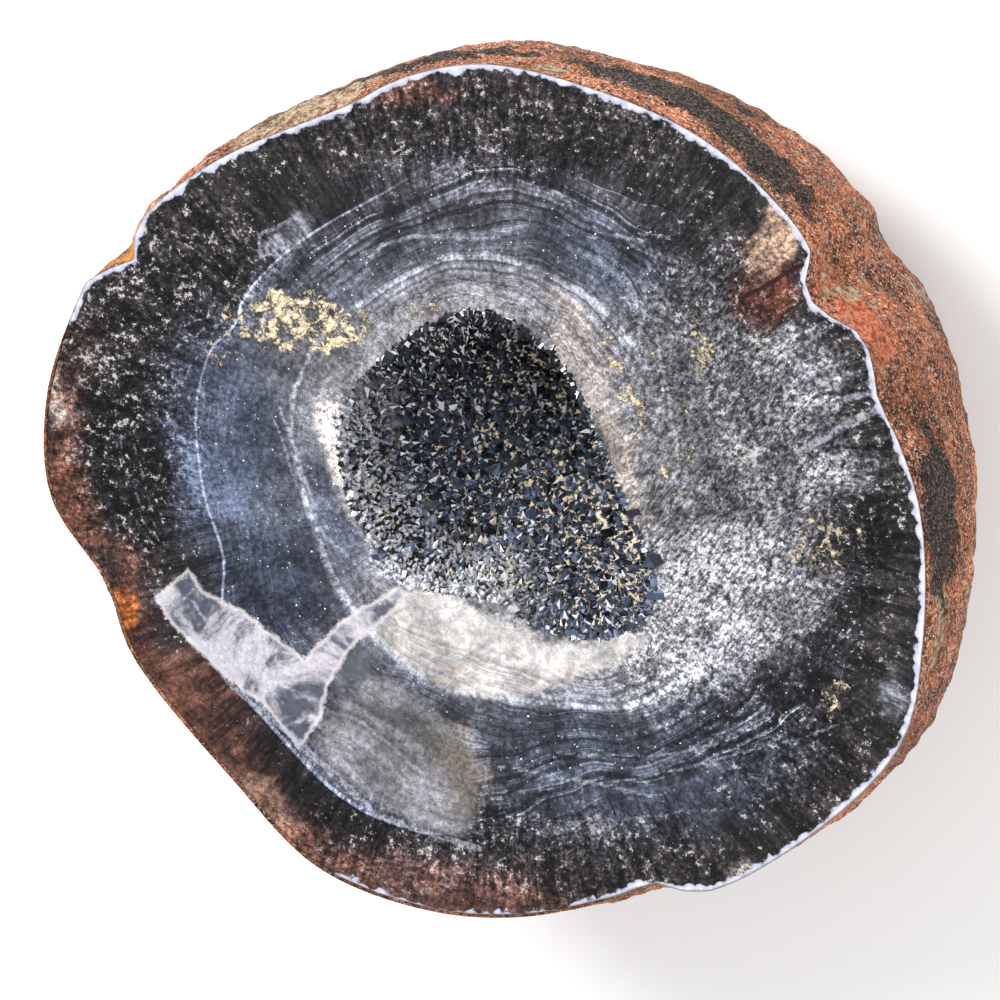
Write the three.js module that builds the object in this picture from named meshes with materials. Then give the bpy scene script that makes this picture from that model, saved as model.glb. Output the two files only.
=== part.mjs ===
// Half of an agate geode: a rounded nodule sawn flat, with an open cavity lined with drusy quartz.
// Millimetres, +Z up. It lies on its rounded back with the sawn face level on top.
// The origin is under the middle of its outline, on the surface that it rests on.
import * as THREE from "three";

// Driving dimensions
const height = 47; // from the resting spot to the sawn face
const domeDepth = 48.6; // the back would be this deep if its resting spot weren't worn flat
const cavityDepth = 27; // sawn face to the cavity's floor
const tiltAngle = THREE.MathUtils.degToRad(35); // plan direction in which the nodule leans and bulges
const girthDepth = { least: 2, most: 14 }; // depth of the widest section, on the thin side and the full side
const backFullness = { middle: 2.15, swing: 0.2 }; // power of the back's superellipse: 2 is an ellipse
const cavityFullness = 2.15;
const backCentre = new THREE.Vector2(3.5, 2.5); // plan position of the back's lowest point
const cavityFloor = new THREE.Vector2(2, 3); // plan position of the cavity's deepest point
const fitGap = 0.5; // clearance between the cavity wall and the crystal lining
const liningThickness = 1.4; // solid quartz under the crystal points
const crystalHeight = { least: 0.7, most: 2.1 };
const liningLip = 0.9; // the crystals start this far below the sawn face
const crystalAim = 12; // the crystals point at a spot this far below the sawn face
const broadLumps = { size: 0.022, around: 2, along: 2, start: 1.3 }; // size is a share of the radius
const smallLumps = { size: 0.014, around: 5, along: 3, start: -0.7 };

// Facets
const stoneSegments = 120;
const backRows = 11;
const flankRows = 3;
const cavityRows = 8;
const liningSegments = 54;
const liningRows = 11;
const outlineSteps = 1440; // an outline's curve is read at this many points
const crystalSeed = 7; // any whole number: it picks the crystals' sizes

// Edge of the sawn face, counter-clockwise from +X, in whole millimetres. Points stand only where the edge
// turns: at the notch, at the two steps where the skin is chipped, and at the fullest places between them.
const faceEdge = [
  [54, -2], [51, 8], [49, 12], [48, 18], [46, 21], [42, 23], [40, 26], [41, 30], [35, 38], [26, 45],
  [14, 50], [0, 53], [-11, 51], [-17, 48], [-36, 40], [-46, 32], [-47, 27], [-52, 26], [-55, 21],
  [-59, 10], [-59, -3], [-52, -14], [-49, -23], [-36, -39], [-25, -50], [-10, -55], [3, -55],
  [14, -52], [19, -50], [25, -51], [38, -44], [51, -31], [54, -18],
];

// Widest outline of the nodule, seen in plan
const girth = [
  [58, -6], [55, 14], [43, 34], [24, 49], [0, 54], [-21, 51], [-40, 40], [-55, 23], [-60, 2],
  [-53, -15], [-42, -33], [-23, -52], [4, -55], [30, -50], [51, -33],
];

// Mouth of the cavity in the sawn face
const cavityMouth = [
  [16, 0], [12, 10], [8, 17], [0, 22], [-5, 22], [-12, 18], [-19, 11], [-21, 4], [-18, -6],
  [-11, -13], [0, -15], [4, -18], [13, -19], [19, -16], [20, -10],
];

// Turns a closed outline into a function from angle to radius, about the outline's own middle.
function outlineOf(points) {
  const corners = points.map(([x, y]) => new THREE.Vector3(x, y, 0));
  const curve = new THREE.CatmullRomCurve3(corners, true, "centripetal");
  const box = new THREE.Box3().setFromPoints(corners);
  const centre = box.getCenter(new THREE.Vector3());
  const samples = curve.getPoints(outlineSteps).slice(0, -1).map((p) => p.sub(centre));
  const polar = samples.map((p) => [Math.atan2(p.y, p.x), Math.hypot(p.x, p.y)]);
  polar.sort((a, b) => a[0] - b[0]);
  const radiusAt = (angle) => {
    const wanted = Math.atan2(Math.sin(angle), Math.cos(angle));
    const next = polar.findIndex(([a]) => a >= wanted);
    const [a1, r1] = polar[next < 0 ? 0 : next];
    const [a0, r0] = polar[next > 0 ? next - 1 : polar.length - 1];
    const span = (a1 - a0 + 2 * Math.PI) % (2 * Math.PI);
    const share = ((wanted - a0 + 2 * Math.PI) % (2 * Math.PI)) / span;
    return r0 + (r1 - r0) * share;
  };
  return { centre: new THREE.Vector2(centre.x, centre.y), radiusAt };
}

const face = outlineOf(faceEdge);
const widest = outlineOf(girth);
const mouth = outlineOf(cavityMouth);

// A point at a radius and angle about a plan centre
function around(centre, radius, angle, z) {
  return new THREE.Vector3(centre.x + radius * Math.cos(angle), centre.y + radius * Math.sin(angle), z);
}

// Depth of the nodule's widest section: shallow on the thin side, deeper where the nodule bulges
function girthDepthAt(angle) {
  const share = 0.5 + 0.5 * Math.cos(angle - tiltAngle);
  return THREE.MathUtils.lerp(girthDepth.least, girthDepth.most, share);
}

// Gentle lumps, so that the back is a natural nodule and not a turned one
function lumps(angle, slope) {
  const swell = (lump) => {
    const across = Math.sin(lump.around * angle + lump.start);
    return lump.size * across * Math.sin(lump.along * slope);
  };
  return 1 + swell(broadLumps) + swell(smallLumps);
}

// The rounded back. Share 0 is the rim of the flat resting spot and 1 is the widest section.
function backPoint(angle, share) {
  const power = backFullness.middle + backFullness.swing * Math.cos(angle - tiltAngle);
  const start = girthDepthAt(angle);
  const flat = (height - start) / (domeDepth - start);
  const flatSlope = Math.asin(flat ** (power / 2));
  const slope = flatSlope * (1 - share);
  const depth = start + (domeDepth - start) * Math.sin(slope) ** (2 / power);
  const radius = widest.radiusAt(angle) * Math.cos(slope) ** (2 / power) * lumps(angle, slope);
  const centre = backCentre.clone().lerp(widest.centre, Math.cos(slope));
  return around(centre, radius, angle, share === 0 ? 0 : height - depth);
}

// The flank between the widest section (share 0) and the edge of the sawn face (share 1)
function flankPoint(angle, share) {
  const bulge = Math.cos((Math.PI / 2) * share);
  const wide = backPoint(angle, 1);
  const edge = around(face.centre, face.radiusAt(angle), angle, height);
  const z = THREE.MathUtils.lerp(wide.z, edge.z, share);
  return edge.lerp(wide, bulge).setZ(z);
}

// The cavity's wall, moved inwards by an inset. A dip of 0 is level with the face, and the floor is at a
// right angle.
function cavityPoint(angle, dip, inset = 0) {
  const depth = (cavityDepth - inset) * Math.sin(dip) ** (2 / cavityFullness);
  const radius = (mouth.radiusAt(angle) - inset) * Math.cos(dip) ** (2 / cavityFullness);
  const centre = cavityFloor.clone().lerp(mouth.centre, Math.cos(dip));
  return around(centre, Math.max(radius, 0), angle, height - depth);
}

// The stone is one solid of revolution, bent to its outlines row by row. The rows run up the back,
// over the sawn face and down into the cavity.
function stoneGeometry() {
  const rows = [() => new THREE.Vector3(backCentre.x, backCentre.y, 0)];
  for (let i = 0; i <= backRows; i++) rows.push((angle) => backPoint(angle, i / backRows));
  for (let i = 1; i <= flankRows; i++) rows.push((angle) => flankPoint(angle, i / flankRows));
  const rowDip = Math.PI / 2 / cavityRows;
  for (let i = 0; i < cavityRows; i++) rows.push((angle) => cavityPoint(angle, i * rowDip));
  rows.push(() => new THREE.Vector3(cavityFloor.x, cavityFloor.y, height - cavityDepth));

  const placeholder = rows.map((_, i) => new THREE.Vector2(i % (rows.length - 1) ? 1 : 0, i));
  const geometry = new THREE.LatheGeometry(placeholder, stoneSegments);
  const position = geometry.getAttribute("position");
  for (let segment = 0; segment <= stoneSegments; segment++) {
    const angle = ((segment % stoneSegments) / stoneSegments) * 2 * Math.PI;
    rows.forEach((row, i) => {
      const point = row(angle);
      position.setXYZ(segment * rows.length + i, point.x, point.y, point.z);
    });
  }
  geometry.computeVertexNormals();
  return geometry;
}

// The crystal lining is one grown crust: a thin bowl whose inner side is a field of pyramids.
function liningGeometry() {
  const lipDip = Math.asin((liningLip / cavityDepth) ** (cavityFullness / 2));
  const dipAt = (row) => THREE.MathUtils.lerp(lipDip, Math.PI / 2, row / liningRows);
  const angleAt = (segment) => ((segment % liningSegments) / liningSegments) * 2 * Math.PI;
  const outer = (segment, row) => cavityPoint(angleAt(segment), dipAt(row), fitGap);
  const inner = (segment, row) => cavityPoint(angleAt(segment), dipAt(row), fitGap + liningThickness);
  const corners = [];
  const triangle = (...points) => points.forEach((p) => corners.push(p.x, p.y, p.z));

  const aim = new THREE.Vector3(cavityFloor.x, cavityFloor.y, height - crystalAim);
  THREE.MathUtils.seededRandom(crystalSeed);
  for (let s = 0; s < liningSegments; s++) {
    triangle(outer(s, 0), inner(s + 1, 0), inner(s, 0));
    triangle(outer(s, 0), outer(s + 1, 0), inner(s + 1, 0));
    for (let r = 0; r < liningRows; r++) {
      const last = r === liningRows - 1;
      const ring = [inner(s, r), inner(s, r + 1), inner(s + 1, r + 1), inner(s + 1, r)];
      if (last) ring.splice(2, 1); // the floor's last ring closes on one point
      const tip = ring.reduce((sum, p) => sum.add(p), new THREE.Vector3()).divideScalar(ring.length);
      const luck = THREE.MathUtils.seededRandom();
      const size = THREE.MathUtils.lerp(crystalHeight.least, crystalHeight.most, luck);
      const inward = aim.clone().sub(tip).normalize();
      const shrink = Math.min(1, ring[0].distanceTo(ring[ring.length - 1]) / size);
      tip.addScaledVector(inward, size * shrink);
      ring.forEach((p, i) => triangle(p, tip, ring[(i + 1) % ring.length]));
      triangle(outer(s, r), outer(s, r + 1), outer(s + 1, r));
      if (!last) triangle(outer(s + 1, r), outer(s, r + 1), outer(s + 1, r + 1));
    }
  }
  const geometry = new THREE.BufferGeometry();
  geometry.setAttribute("position", new THREE.Float32BufferAttribute(corners, 3));
  geometry.computeVertexNormals();
  return geometry;
}

const darkAgate = new THREE.MeshStandardMaterial({ color: 0x3b3c44, roughness: 0.55, metalness: 0 });
const smokyQuartz = new THREE.MeshStandardMaterial({ color: 0x4a525e, roughness: 0.15, metalness: 0 });

const stone = new THREE.Mesh(stoneGeometry(), darkAgate);
stone.name = "agate_stone";

const lining = new THREE.Mesh(liningGeometry(), smokyQuartz);
lining.name = "drusy_quartz_lining";

// The outlines are drawn about the middle of the sawn face, so the whole is moved over its own middle.
const geode = new THREE.Group();
geode.add(stone, lining);
const middle = new THREE.Box3().setFromObject(stone).getCenter(new THREE.Vector3());
geode.children.forEach((piece) => piece.position.set(-middle.x, -middle.y, 0));

export default geode;
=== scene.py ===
import math
import bpy
import numpy as np
from mathutils import Matrix, Vector, kdtree, noise
from mathutils.bvhtree import BVHTree


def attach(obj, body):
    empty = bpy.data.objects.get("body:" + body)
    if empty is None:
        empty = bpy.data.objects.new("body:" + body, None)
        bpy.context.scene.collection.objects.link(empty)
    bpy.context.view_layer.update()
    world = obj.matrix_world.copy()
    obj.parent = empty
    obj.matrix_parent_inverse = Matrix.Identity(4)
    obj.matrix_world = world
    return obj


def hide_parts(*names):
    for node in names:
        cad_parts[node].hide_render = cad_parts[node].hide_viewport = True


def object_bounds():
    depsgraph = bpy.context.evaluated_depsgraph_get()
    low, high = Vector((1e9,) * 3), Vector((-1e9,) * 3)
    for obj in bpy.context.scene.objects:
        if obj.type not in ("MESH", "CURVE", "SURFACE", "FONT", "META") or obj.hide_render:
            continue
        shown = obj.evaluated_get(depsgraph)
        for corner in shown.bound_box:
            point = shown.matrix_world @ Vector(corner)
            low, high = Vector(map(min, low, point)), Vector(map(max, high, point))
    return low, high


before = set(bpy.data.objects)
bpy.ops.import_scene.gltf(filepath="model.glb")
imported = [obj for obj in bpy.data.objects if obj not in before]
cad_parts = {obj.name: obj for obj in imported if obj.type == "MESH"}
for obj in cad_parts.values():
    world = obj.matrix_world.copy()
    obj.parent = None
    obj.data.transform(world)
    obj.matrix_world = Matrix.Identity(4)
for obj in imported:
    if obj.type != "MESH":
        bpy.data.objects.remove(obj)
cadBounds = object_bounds()

mm = 0.001
faceLevel = cadBounds[1].z / mm  # height of the sawn face, in millimetres
stoneNode = "agate_stone"
liningNode = "drusy_quartz_lining"


# Numbers and outlines are in millimetres about the frame's origin.

def tint(red, green, blue):  # a colour as seen on a screen, 0 to 255, as the shader wants it
    shares = np.array([red, green, blue]) / 255
    return np.where(shares < 0.04045, shares / 12.92, ((shares + 0.055) / 1.055) ** 2.4)


def smooth(value, low, high):  # 0 below low, 1 above high, and an S curve between
    share = np.clip((value - low) / (high - low), 0, 1)
    return share * share * (3 - 2 * share)


def rounded(points, times):  # cuts a loop's corners
    loop = np.array(points, float)
    for _ in range(times):
        after = np.roll(loop, -1, axis=0)
        loop = np.stack([0.75 * loop + 0.25 * after, 0.25 * loop + 0.75 * after], 1).reshape(-1, 2)
    return loop


def reachOf(loop, angles):  # how far out a loop lies in each direction
    turn = np.arctan2(loop[:, 1], loop[:, 0])
    order = np.argsort(turn)
    return np.interp(angles, turn[order], np.hypot(*loop.T)[order], period=2 * math.pi)


def insideOf(loop, places):  # how deep each place lies inside a closed loop: negative outside
    start, end = loop, np.roll(loop, -1, axis=0)
    edge = end - start
    nearest = np.full(len(places), 1e9)
    crossings = np.zeros(len(places), int)
    for a, d in zip(start, edge):
        along = np.clip(((places - a) @ d) / max(d @ d, 1e-9), 0, 1)
        nearest = np.minimum(nearest, np.hypot(*(places - a - along[:, None] * d).T))
        if d[1]:
            rises = (a[1] > places[:, 1]) != (a[1] + d[1] > places[:, 1])
            crossings += rises & (places[:, 0] < a[0] + d[0] * (places[:, 1] - a[1]) / d[1])
    return np.where(crossings % 2 == 1, nearest, -nearest)


def clouds(points, size, octaves=4, seed=0.0):  # soft natural noise from about -1 to 1
    shift = Vector((seed, seed * 1.7, seed * 2.3))
    return np.array([noise.fractal(Vector(p) / size + shift, 1.0, 2.0, octaves) for p in points])


def solidOf(node):  # the node's own triangles, in millimetres, for rays to hit
    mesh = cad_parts[node].data
    corners = [v.co / mm for v in mesh.vertices]
    return BVHTree.FromPolygons(corners, [tuple(p.vertices) for p in mesh.polygons])


def rayHits(solid, starts, ways):
    return np.array([solid.ray_cast(Vector(s), Vector(w))[0] for s, w in zip(starts, ways)])


def anglesOf(count):
    return np.arange(count) / count * 2 * math.pi


def resampled(grid, rows, segments):  # a rows by segments grid of points, read more finely and smoothed
    level = np.linspace(0, len(grid) - 1, rows)
    low = np.minimum(level.astype(int), len(grid) - 2)
    share = (level - low)[:, None, None]
    grid = grid[low] * (1 - share) + grid[low + 1] * share
    spot = np.arange(segments) / segments * grid.shape[1]
    left = spot.astype(int)
    right = (left + 1) % grid.shape[1]
    share = (spot - left)[None, :, None]
    fine = grid[:, left] * (1 - share) + grid[:, right] * share
    for _ in range(8):
        fine[1:-1] = (fine[:-2] + 2 * fine[1:-1] + fine[2:]) / 4
        fine[1:] = (np.roll(fine[1:], 1, 1) + 2 * fine[1:] + np.roll(fine[1:], -1, 1)) / 4
    return fine


def ballOf(name, segments, rows):  # a closed start whose rows are then laid out
    bpy.ops.object.select_all(action="DESELECT")
    bpy.ops.mesh.primitive_grid_add(x_subdivisions=segments, y_subdivisions=rows, size=2)
    ball = bpy.context.object
    ball.name = ball.data.name = name
    sheet = np.empty(len(ball.data.vertices) * 3)
    ball.data.vertices.foreach_get("co", sheet)
    sheet = (sheet.reshape(-1, 3) + 1) / 2
    row = np.rint((1 - sheet[:, 1]) * rows).astype(int)
    segment = np.rint(sheet[:, 0] * segments).astype(int) % segments
    for label, values in (("row", row), ("segment", segment)):
        ball.data.attributes.new(label, "INT", "POINT").data.foreach_set("value", values.astype(np.int32))
    turn, fall = segment / segments * 2 * math.pi, row / rows * math.pi
    side = np.where(row % rows == 0, 0, np.sin(fall))
    places = np.stack([side * np.cos(turn), side * np.sin(turn), np.cos(fall)], 1)
    ball.data.vertices.foreach_set("co", places.ravel())
    bpy.ops.object.mode_set(mode="EDIT")
    bpy.ops.mesh.select_all(action="SELECT")
    bpy.ops.mesh.remove_doubles(threshold=1e-6)
    bpy.ops.object.mode_set(mode="OBJECT")
    found = []
    for label in ("row", "segment"):
        values = np.empty(len(ball.data.vertices), np.int32)
        ball.data.attributes[label].data.foreach_get("value", values)
        ball.data.attributes.remove(ball.data.attributes[label])
        found.append(values)
    return ball, *found


def placeVertices(piece, points):
    piece.data.vertices.foreach_set("co", (points * mm).ravel())
    piece.data.update()


def normalsOf(piece):
    found = np.empty(len(piece.data.vertices) * 3)
    piece.data.vertices.foreach_get("normal", found)
    return found.reshape(-1, 3)


def writeField(piece, name, values):  # one number for each vertex, for the material to read
    field = piece.data.attributes.new(name, "FLOAT", "POINT")
    field.data.foreach_set("value", np.asarray(values, np.float32))


def writeColour(piece, name, colours):
    field = piece.data.attributes.new(name, "FLOAT_COLOR", "POINT")
    field.data.foreach_set("color", np.c_[colours, np.ones(len(colours))].astype(np.float32).ravel())


def writeVector(piece, name, vectors):
    field = piece.data.attributes.new(name, "FLOAT_VECTOR", "POINT")
    field.data.foreach_set("vector", np.asarray(vectors, np.float32).ravel())


def layFlat(piece, flat):  # the piece's own UV map, from one place for each vertex
    while piece.data.uv_layers:
        piece.data.uv_layers.remove(piece.data.uv_layers[0])
    corners = np.empty(len(piece.data.loops), int)
    piece.data.loops.foreach_get("vertex_index", corners)
    piece.data.uv_layers.new(name="OFBake").data.foreach_set("uv", flat[corners].ravel())


def shadeSmooth(piece):
    piece.data.polygons.foreach_set("use_smooth", np.ones(len(piece.data.polygons), bool))
    piece.data.update()


def patchShare(places, x, y, wide, high, turn):  # 1 in the middle of an oval patch and 0 outside it
    angle = math.radians(turn)
    dx, dy = places[:, 0] - x, places[:, 1] - y
    along = (dx * math.cos(angle) + dy * math.sin(angle)) / wide
    across = (dy * math.cos(angle) - dx * math.sin(angle)) / high
    return 1 - smooth(np.hypot(along, across), 0.35, 1.15)


# Short names for the nodes that the finishes use.

class Bench:
    def __init__(self, name):
        self.material = bpy.data.materials.new(name)
        self.material.use_nodes = True
        self.tree = self.material.node_tree
        self.shader = self.tree.nodes["Principled BSDF"]
        here = self.node("TexCoord").outputs["Object"]
        self.place = self.node("VectorMath", {0: here, 1: (1 / mm,) * 3}, operation="MULTIPLY").outputs[0]
        self.here = self.tilted(self.place)

    def node(self, kind, inputs={}, **settings):
        made = self.tree.nodes.new("ShaderNode" + kind)
        for name, value in settings.items():
            setattr(made, name, value)
        for socket, value in inputs.items():
            if isinstance(value, bpy.types.NodeSocket):
                self.tree.links.new(value, made.inputs[socket])
            else:
                made.inputs[socket].default_value = value
        return made

    def maths(self, operation, a, b=0.0, clamp=False):
        return self.node("Math", {0: a, 1: b}, operation=operation, use_clamp=clamp).outputs[0]

    def times(self, a, b):
        return self.maths("MULTIPLY", a, b)

    def plus(self, a, b):
        return self.maths("ADD", a, b)

    def less(self, a, b):
        return self.maths("SUBTRACT", a, b)

    def sway(self, value, amount):  # a noise about 0, this strong
        return self.times(self.less(value, 0.5), amount)

    def fade(self, value, low, high, to=(0.0, 1.0)):  # to[0] at low and to[1] at high
        sockets = {"Value": value, "From Min": low, "From Max": high, "To Min": to[0], "To Max": to[1]}
        return self.node("MapRange", sockets, interpolation_type="SMOOTHSTEP").outputs[0]

    def mix(self, share, a, b):
        a, b = (v if isinstance(v, bpy.types.NodeSocket) else (*v, 1.0) for v in (a, b))
        return self.node("Mix", {0: share, 6: a, 7: b}, data_type="RGBA").outputs[2]

    def brighten(self, colour, amount):  # a colour times a number that changes over the surface
        return self.node("VectorMath", {0: colour, "Scale": amount}, operation="SCALE").outputs[0]

    def noise(self, where, scale, detail=4.0, rough=0.55, warp=0.0):
        sockets = {"Vector": where, "Scale": scale, "Detail": detail, "Roughness": rough, "Distortion": warp}
        return self.node("TexNoise", sockets).outputs[0]

    def lines(self, position, scale, detail=5.0, rough=0.6):
        sockets = {"W": position, "Scale": scale, "Detail": detail, "Roughness": rough}
        return self.node("TexNoise", sockets, noise_dimensions="1D").outputs[0]

    def cells(self, where, scale):
        return self.node("TexVoronoi", {"Vector": where, "Scale": scale}).outputs["Distance"]

    def tilted(self, where):  # noise read on a slant shows no grid on the flat face
        return self.node("Mapping", {"Vector": where, "Rotation": (0.5, 0.4, 0.3)}).outputs[0]

    def stretched(self, sizes, turn):  # positions drawn out along one direction of the face
        turned = self.node("VectorRotate", {"Vector": self.place, "Angle": math.radians(-turn)},
                           rotation_type="Z_AXIS").outputs[0]
        return self.tilted(self.node("VectorMath", {0: turned, 1: sizes}, operation="MULTIPLY").outputs[0])

    def warped(self, where, scale, amount):  # pushes a position about, for ragged edges
        push = self.node("TexNoise", {"Vector": where, "Scale": scale, "Detail": 3.0}).outputs["Color"]
        push = self.node("VectorMath", {0: push, 1: (0.5, 0.5, 0.5)}, operation="SUBTRACT").outputs[0]
        push = self.node("VectorMath", {0: push, "Scale": amount}, operation="SCALE").outputs[0]
        return self.node("VectorMath", {0: where, 1: push}, operation="ADD").outputs[0]

    def field(self, name, output="Fac"):
        return self.node("Attribute", attribute_name=name).outputs[output]

    def sumOf(self, *parts):
        total = parts[0]
        for part in parts[1:]:
            total = self.plus(total, part)
        return total

    def finish(self, piece, colour, rough, height, depth, **values):
        bump = self.node("Bump", {"Height": height, "Distance": depth * mm, "Strength": 1.0})
        self.tree.links.new(bump.outputs[0], self.shader.inputs["Normal"])
        self.tree.links.new(colour, self.shader.inputs["Base Color"])
        if isinstance(rough, bpy.types.NodeSocket):
            self.tree.links.new(rough, self.shader.inputs["Roughness"])
        else:
            self.shader.inputs["Roughness"].default_value = rough
        for name, value in values.items():
            self.shader.inputs[name.replace("_", " ")].default_value = value
        piece.data.materials.clear()
        piece.data.materials.append(self.material)


# The outlines that the face follows.

stone = solidOf(stoneNode)
stoneCorners = np.array([v.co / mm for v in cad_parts[stoneNode].data.vertices])
facePlaces = stoneCorners[stoneCorners[:, 2] > faceLevel - 0.01][:, :2]
betweenRimAndMouth = 29  # the rim is all farther out than this, and the mouth all nearer
rimLoop = facePlaces[np.hypot(*facePlaces.T) > betweenRimAndMouth]
mouthLoop = facePlaces[np.hypot(*facePlaces.T) < betweenRimAndMouth]


# A loop between the cavity's mouth (0) and the rim (1). Each stop is a direction in degrees and its share.
def betweenLoops(stops):
    angles = anglesOf(120)
    turns, shares = zip(*stops)
    share = np.interp(np.degrees(angles), turns, shares, period=360)
    for _ in range(6):
        share = (np.roll(share, 1) + 2 * share + np.roll(share, -1)) / 4
    reach = reachOf(mouthLoop, angles) * (1 - share) + reachOf(rimLoop, angles) * share
    return np.stack([reach * np.cos(angles), reach * np.sin(angles)], 1)


# the bright line round the cavity
haloLoop = betweenLoops([
    (0, 0.22), (45, 0.27), (90, 0.22), (135, 0.22), (180, 0.12), (225, 0.22), (270, 0.3),
])
# where the fine bands end and the dark outer zone starts
bandLoop = betweenLoops([
    (0, 0.82), (30, 0.84), (60, 0.68), (90, 0.62), (120, 0.58), (145, 0.52), (165, 0.5), (180, 0.46),
    (200, 0.56), (215, 0.76), (240, 0.76), (260, 0.77), (280, 0.68), (310, 0.6), (335, 0.74),
])


# What lies where on the sawn face: x, y, half width, half height, turn, colour, strength.
colours = {
    "charcoal": tint(40, 38, 41), "umber": tint(84, 54, 44), "roughGrey": tint(84, 83, 86),
    "paleGrey": tint(124, 124, 130), "slateBlue": tint(64, 71, 88), "steelGlow": tint(88, 98, 120),
    "navy": tint(40, 45, 58), "mist": tint(128, 130, 142), "dusk": tint(62, 61, 67),
    "rust": tint(74, 38, 26), "beige": tint(150, 138, 130), "slate": tint(46, 51, 62),
    "plum": tint(78, 60, 57), "amber": tint(150, 84, 32), "tan": tint(160, 132, 114),
    "cream": tint(216, 206, 200), "black": tint(14, 13, 16), "sienna": tint(84, 55, 45),
}
facePatches = [
    (-8, 50, 6, 1.5, 5, "umber", 0.5), (27, 8, 14, 19, 0, "roughGrey", 0.75),
    (25, -14, 11, 10, 0, "paleGrey", 0.9), (36, -10, 7, 7, 0, "paleGrey", 0.7),
    (38, 6, 8, 8, 0, "roughGrey", 0.6), (-35, 5, 8, 14, 0, "slateBlue", 0.8),
    (-35, 0, 5, 6, 0, "steelGlow", 0.7), (-29, -13, 8, 8, 0, "navy", 0.95),
    (-21, -3, 3, 9, 20, "slateBlue", 0.8), (-19, 3, 2, 8, 12, "cream", 0.7),
    (-14, -9, 2, 5, 40, "mist", 0.7), (-22, 18, 5, 5, 0, "roughGrey", 0.5),
    (-26, 31, 4, 1.5, 30, "mist", 0.6), (0, 38, 16, 4, 0, "dusk", 0.6), (-16, 12, 2, 5, -20, "mist", 0.6),
    (15, 30, 9, 4, -35, "slateBlue", 0.5), (49, -3, 6, 5, 0, "black", 0.8),
    (47, 19, 4, 8, -20, "charcoal", 0.6), (36, 26, 4, 4, 20, "rust", 0.85),
    (31, 33, 3, 7, 30, "charcoal", 0.7), (37, 32, 2, 5, -28, "tan", 0.8),
    (34, 27, 2.5, 2.5, 0, "black", 0.5), (20, -35, 19, 8, 12, "slate", 0.85),
    (7, -33, 8, 6, 0, "slate", 0.8), (-5, -35, 4, 5, 0, "beige", 0.4),
    (12, -43, 6, 1.5, 5, "roughGrey", 0.5), (-10, -50, 16, 3, -8, "plum", 0.8),
    (-40, -28, 8, 5, -45, "umber", 0.7), (-57, -4, 4, 10, 0, "umber", 0.75),
    (-49, -16, 2, 3, -20, "amber", 0.9), (-31, -41, 6, 2, -42, "tan", 0.7),
    (-42, -32, 3.5, 1.5, -50, "tan", 0.5), (-57, 11, 1.5, 3, -10, "beige", 0.6),
    (51, -24, 2, 4, 0, "mist", 0.5), (-47, 3, 6, 14, 5, "black", 0.85),
    (31, -47, 2, 1.5, 0, "cream", 0.5), (41, 16, 5, 4, -30, "paleGrey", 0.65),
    (44, 3, 6, 2.5, 30, "paleGrey", 0.6), (12, 19, 2.5, 8, 30, "beige", 0.55),
    (17, 5, 2, 9, 18, "beige", 0.55), (-34, -33, 9, 2.5, -38, "black", 0.7),
    (-22, -42, 8, 2, -28, "black", 0.7), (44, 27, 3, 2.5, 0, "charcoal", 0.5),
    (36, -25, 12, 6, 30, "black", 0.6), (27, 28, 6, 5, 0, "charcoal", 0.5),
    (-44, 24, 8, 8, 0, "black", 0.5),
]
clayPatches = [  # cream clay left on the stone: x, y, half width, half height, turn, strength
    (-25, 21, 11, 5, -4, 1.05), (-34, 17, 4, 2.5, 20, 0.8), (-18, 18, 3, 3.5, 0, 0.7),
    (18, 14, 2, 10, 18, 0.9), (27, 20, 2.5, 6, 5, 0.85), (24, 5, 3, 6, 15, 0.8), (24, 12, 7, 14, 8, 0.66),
    (43, -5, 7, 4, 10, 0.9), (44, -25, 3, 4, 0, 0.9), (18, -10, 3, 8, 10, 0.7), (-15, 13, 2, 4, -20, 0.6),
    (36, -10, 9, 8, 0, 0.45), (-9, 23, 5, 2, 25, 0.75), (6, 22, 4, 2, -20, 0.6), (-28, 23, 4, 3, 0, 0.95),
    (-21, 20, 4, 3, -30, 0.95), (-16, -2, 2, 8, 20, 0.45), (4, -20, 16, 2, 5, 0.45),
    (27, 22, 3, 6, 10, 0.6), (40, -16, 4, 8, 0, 0.5),
]
gritPatches = [  # broken, sparkling stone: the same
    (0, 46, 40, 8, 0, 0.8), (-48, 10, 12, 26, 0, 1.0), (30, 20, 14, 20, 0, 0.8), (40, 5, 16, 30, 0, 0.9),
    (0, -46, 40, 7, 0, 0.8), (26, -16, 14, 14, 0, 0.9), (-40, 28, 14, 12, 0, 1.0),
    (38, -30, 14, 12, 0, 0.7), (-16, 0, 3, 12, 20, 1.0), (-12, -9, 3, 6, 40, 0.9),
]
calmPatches = [  # smooth, glassy stone: the same
    (37, 32, 2.5, 5, -28, 0.9), (36, 26, 4, 3.5, 20, 0.6), (-34, 4, 9, 16, 0, 0.85),
    (-27, -12, 9, 9, 0, 0.8), (12, 19, 4, 8, 30, 0.6), (0, 25, 14, 4, 0, 0.5), (-31, -41, 7, 4, -42, 0.7),
    (-41, -29, 7, 4, -45, 0.6), (-57, -4, 4, 10, 0, 0.5), (20, -35, 18, 6, 12, 0.5),
    (-10, -51, 16, 3, -8, 0.5), (24, 14, 5, 14, 15, 0.45),
]
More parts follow.
